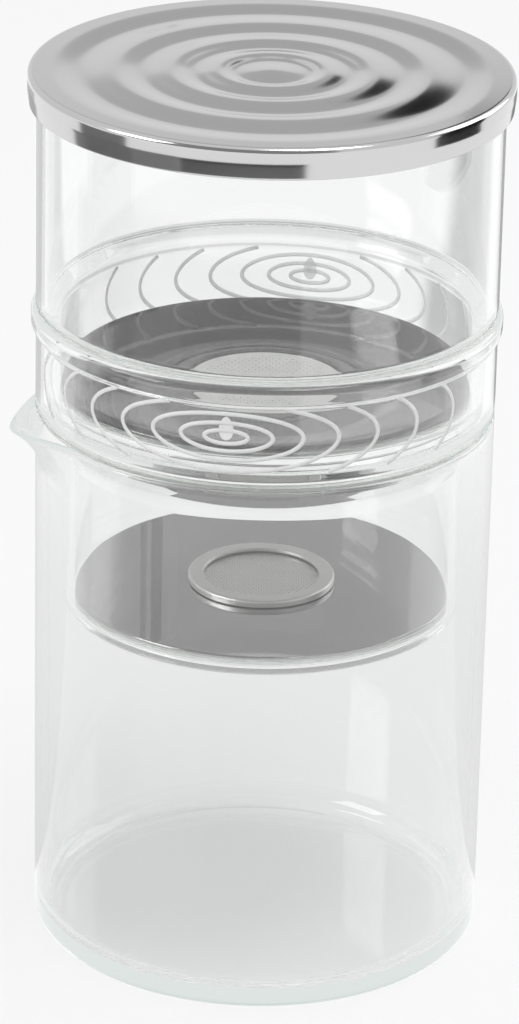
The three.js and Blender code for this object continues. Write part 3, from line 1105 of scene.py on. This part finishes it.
def drop_mesh(sizes, wall, bearing, enamel):
    """A falling drop, pointed at its top, laid on the wall as a thin plate."""
    rows, taper = 20, 0.3
    foot = sizes.height - sizes.drop_sink
    corners = []
    for i in range(1, rows):
        turn = math.pi * i / rows
        half = sizes.drop_width / 2 * math.sin(turn) * math.sin(turn / 2) ** taper
        height = foot + sizes.drop_height * (0.5 + 0.5 * math.cos(turn))
        for radius in (wall, wall + sizes.enamel):
            for side in (-half, half):
                at = bearing + side / wall
                corners.append((radius * math.cos(at), radius * math.sin(at), height))
    faces = [(2, 3, 1, 0), tuple(len(corners) - 4 + i for i in (0, 1, 3, 2))]
    for above in range(0, 4 * (rows - 2), 4):
        below = above + 4
        for first, second in ((1, 0), (3, 1), (2, 3), (0, 2)):
            faces.append((below + first, below + second, above + second, above + first))
    return mesh_of("drop", corners, [], faces, enamel)


class PrintPieces(bpy.types.Operator):
    """White enamel ripples and drop, fired on the chamber's wall, front and rear"""

    bl_idname = "coffee_maker.print"
    bl_label = "Ripple print"

    def execute(self, context):
        maker = context.scene.coffee_maker
        sizes, wall = maker.print, maker.tube.radius + PRINT_LIFT
        enamel = finish_named("fired_enamel", fired_enamel, maker.finish.enamel)
        for side, bearing in (("front", sizes.front), ("rear", sizes.rear)):
            rings = grow(f"{side}_ripples", bpy.data.meshes.new("start"), enamel, ("Ripple print", {
                "Rings": sizes.rings, "First ring": sizes.first, "Step": sizes.step,
                "Widening": sizes.widening, "Flatness": sizes.flatness, "Wall radius": wall,
                "Enamel": sizes.enamel, "Line": sizes.line, "Centre": sizes.height,
                "Low": sizes.low, "High": sizes.high, "Bearing": bearing,
            }))
            drop = placed(f"{side}_drop", drop_mesh(sizes, wall, bearing, enamel))
            for piece in (rings, drop):
                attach(piece, BODY_OF["coffee_chamber"])
        return {"FINISHED"}


class StudioStage(bpy.types.Operator):
    """Pale floor, soft light and the camera"""

    bl_idname = "coffee_maker.studio"
    bl_label = "Studio"

    def execute(self, context):
        studio = context.scene.coffee_maker.studio
        self.lay_floor(studio)
        self.light_backdrop(context, studio)
        self.hang_lamps()
        self.hang_cards()
        self.set_camera(context, studio)
        return {"FINISHED"}

    def lay_floor(self, studio):
        radius, sides = studio.floor_radius, 64
        ring = [math.tau * i / sides for i in range(sides)]
        floor = placed("floor", mesh_of("floor", [
            (radius * math.cos(turn), radius * math.sin(turn), -FLOOR_DROP) for turn in ring
        ], [], [tuple(range(sides))], finish_named("pale_floor", pale_floor, studio)))

    def light_backdrop(self, context, studio):
        world = bpy.data.worlds.new("backdrop")
        nodes = emptied(world)
        x, y, rise = nodes.split(nodes.add("ShaderNodeTexCoord", out="Generated"))
        bearing, elevation = bearing_of(x, y), rise.arcsine().degrees()
        # painted reflections: a darker ceiling and a dark room that only reflections and glass see
        high = on_card(nodes, (bearing + 180.0) % 360.0, elevation, PAINTED_CEILING, SKY_EDGE)
        dark = on_card(nodes, bearing, elevation, PAINTED_DARK_ROOM, SKY_EDGE)
        sky = studio.low_sky + high * (studio.high_sky - studio.low_sky)
        sky = sky * (1.0 - dark * (1.0 - studio.room))
        glossy, through = nodes.outputs(
            "ShaderNodeLightPath", ("Is Glossy Ray", "Is Transmission Ray")
        )
        # glass sees the backdrop painted darker
        shown = sky * (1.0 - through * (1.0 - studio.glass_sky))
        light = nodes.add("ShaderNodeBackground", inputs={
            "Strength": 1.0 + glossy.largest(through) * (shown - 1.0),
        })
        nodes.add("ShaderNodeOutputWorld", inputs={"Surface": light})
        context.scene.world = world

    def hang_lamps(self):
        for name, (place, width, power) in LAMPS.items():
            light = bpy.data.lights.new(name, "AREA")
            light.size, light.energy = width, power
            lamp = placed(name, light)
            lamp.location = place
            lamp.rotation_euler = (LAMP_AIM - lamp.location).to_track_quat("-Z", "Y").to_euler()

    def hang_cards(self):
        """Only reflections and glass show the cards, which face the axis."""
        for name, (place, width, height, shade) in CARDS.items():
            middle = Vector(place)
            turn = (Vector((0, 0, middle.z)) - middle).to_track_quat("Z", "Y")
            card = placed(name, mesh_of(name, [
                middle + turn @ Vector((x * width / 2, y * height / 2, 0))
                for x, y in ((-1, -1), (1, -1), (1, 1), (-1, 1))
            ], [], [(0, 1, 2, 3)], finish_named(name, felt, shade)))
            card.visible_camera = card.visible_diffuse = card.visible_shadow = False

    def set_camera(self, context, studio):
        view = Vector((0, math.cos(studio.pitch), -math.sin(studio.pitch)))
        level, upright = Vector((1, 0, 0)), Vector((1, 0, 0)).cross(view)
        right = level * math.cos(studio.roll) + upright * math.sin(studio.roll)
        up = upright * math.cos(studio.roll) - level * math.sin(studio.roll)
        data = bpy.data.cameras.new("camera")
        data.lens, data.sensor_width, data.clip_end = studio.lens, FILM, CAMERA_END
        camera = placed("camera", data)
        place = Vector((-studio.shift, 0, studio.aim)) - view * studio.distance
        turn = Matrix((right, up, -view)).transposed().to_4x4()
        camera.matrix_world = Matrix.Translation(place) @ turn
        context.scene.camera = camera
        context.scene.view_settings.view_transform = "Standard"


OPERATORS = (
    JugPiece, ChamberPiece, TankPiece, FilterPieces, DripPieces, LidPiece, SealPieces,
    PrintPieces, StudioStage,
)
GROUPS = (
    TubeSizes, JugSizes, ChamberSizes, TankSizes, SteelSizes, LidSizes, PrintSizes, Finishes,
    Studio, CoffeeMaker,
)


class CoffeeMakerPanel(bpy.types.Panel):
    """Lists the pieces of the coffee maker"""

    bl_idname = "VIEW3D_PT_coffee_maker"
    bl_label = "Coffee maker"
    bl_space_type = "VIEW_3D"
    bl_region_type = "UI"
    bl_category = "Coffee maker"

    def draw(self, context):
        for operator in OPERATORS:
            self.layout.operator(operator.bl_idname)


def register():
    for group in (*GROUPS, *OPERATORS, CoffeeMakerPanel):
        bpy.utils.register_class(group)
    bpy.types.Scene.coffee_maker = bpy.props.PointerProperty(type=CoffeeMaker)


def unregister():
    del bpy.types.Scene.coffee_maker
    for group in reversed((*GROUPS, *OPERATORS, CoffeeMakerPanel)):
        bpy.utils.unregister_class(group)


def main():
    register()
    for operator in OPERATORS:
        family, name = operator.bl_idname.split(".")
        getattr(getattr(bpy.ops, family), name)()


if __name__ == "__main__":
    main()
